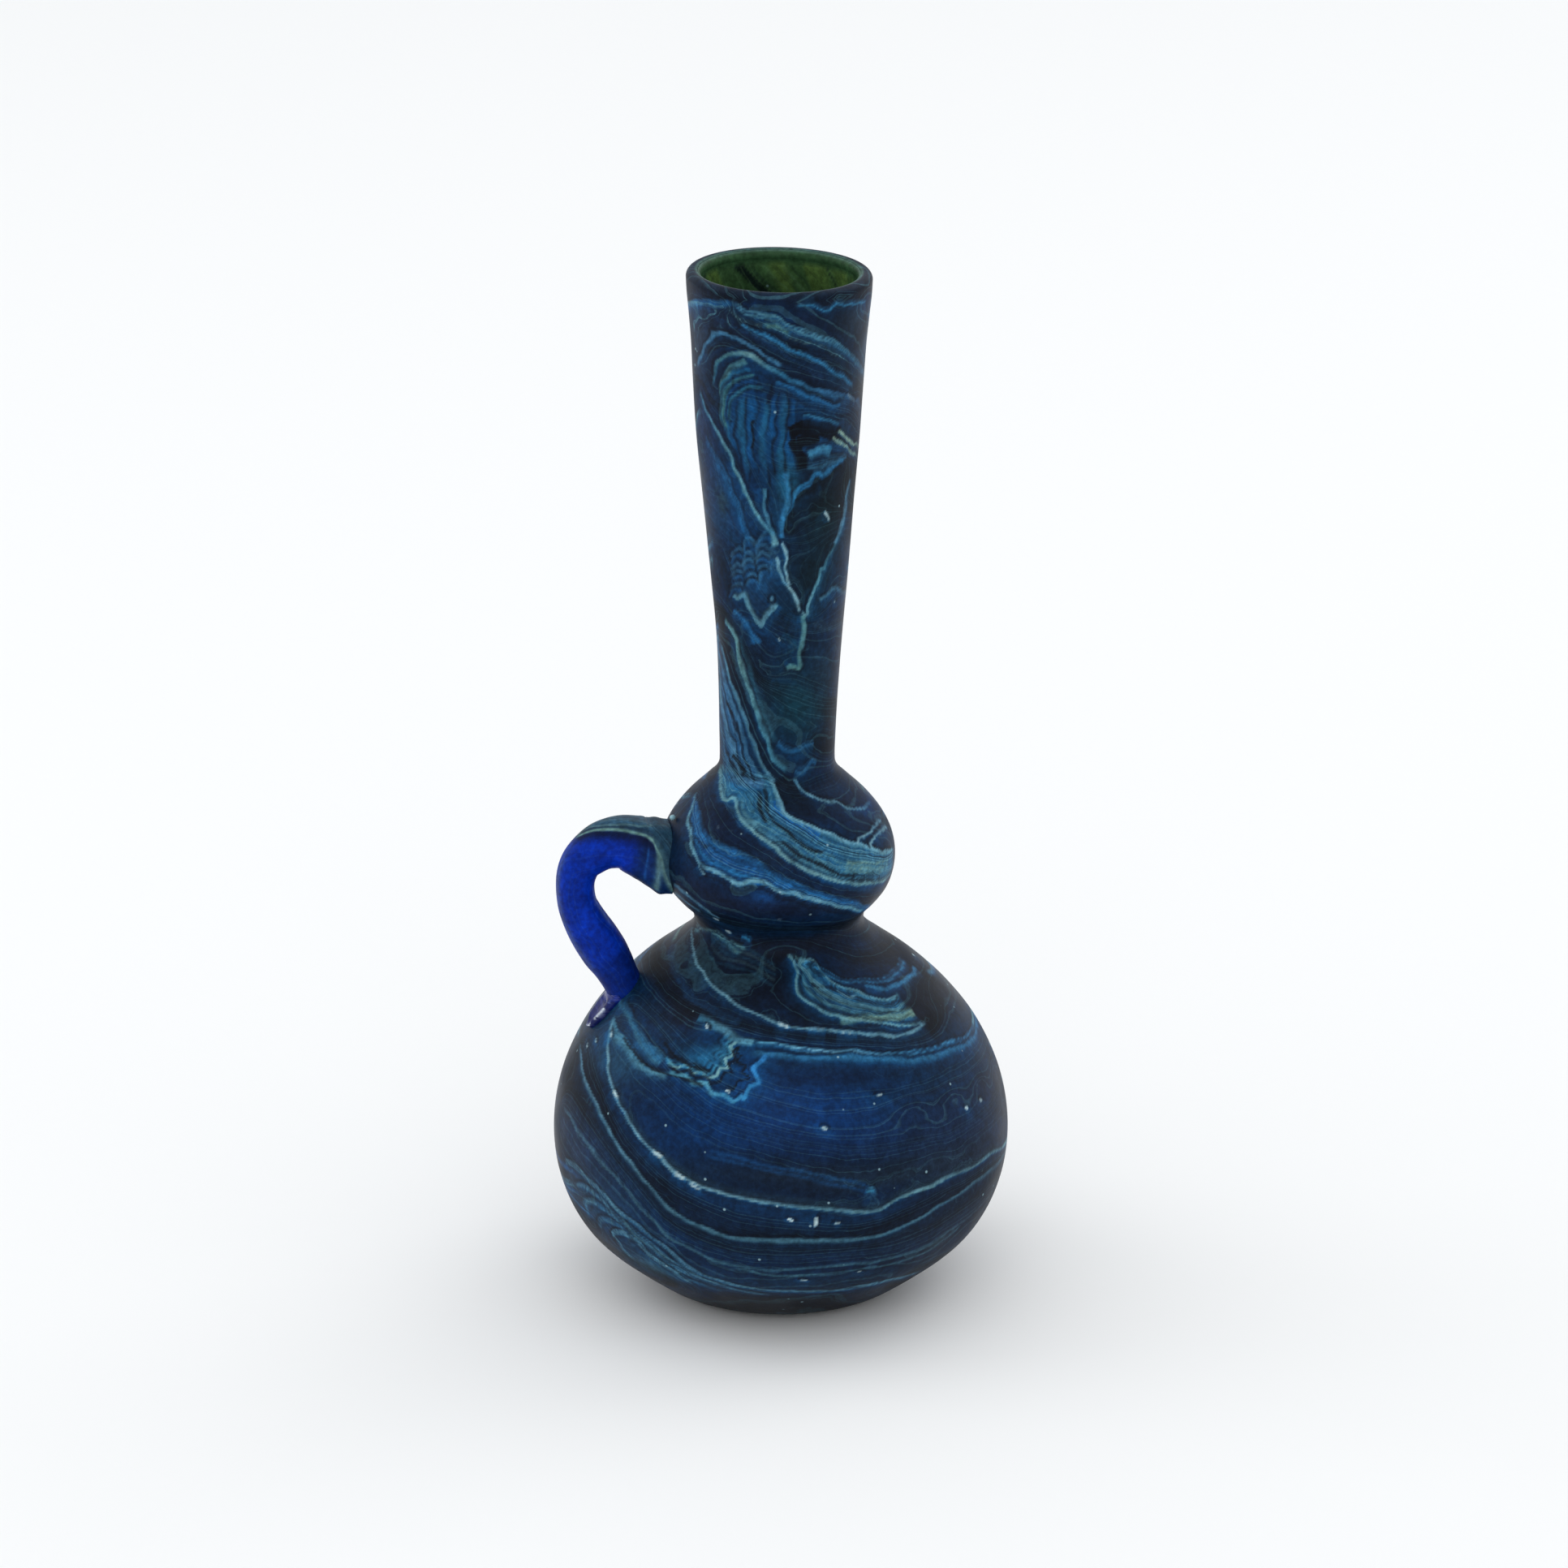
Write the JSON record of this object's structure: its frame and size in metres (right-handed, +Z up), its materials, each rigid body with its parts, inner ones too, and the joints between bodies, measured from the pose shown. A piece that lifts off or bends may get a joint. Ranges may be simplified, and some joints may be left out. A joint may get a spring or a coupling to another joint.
{
  "type": "vase",
  "caption": "Hand-blown glass vase with a long flared neck over a small knop and a round body, and a looped applied handle from knop to shoulder.",
  "frame": {"origin": "on the vase's turning axis, in the plane it stands on", "axes": "+Z up along the turning axis, through the mouth; the handle is on the -X side, in the XZ plane"},
  "size_m": [0.104, 0.104, 0.2404],
  "materials": {
    "swirled_casing": "satin acid-etched opaque glass, navy and blue with teal, pale green and blue-grey swirls",
    "green_lining": "dark green glass, softly glossy, with darker streaks",
    "cobalt_handle": "satin cobalt glass with a swirled teal coat over the top and at the upper joint",
    "sheared_glass": "dark blue glass, glossy where it was sheared",
    "bead_glass": "pale clear glass bead",
    "pontil_glass": "rough broken glass, softened by etching"
  },
  "bodies": {
    "root": {"outer_casing": "swirled_casing", "inner_lining": "green_lining", "handle": "cobalt_handle", "handle_tail": "sheared_glass", "joint_bead": "bead_glass", "pontil_mark": "pontil_glass"}
  },
  "joints": []
}
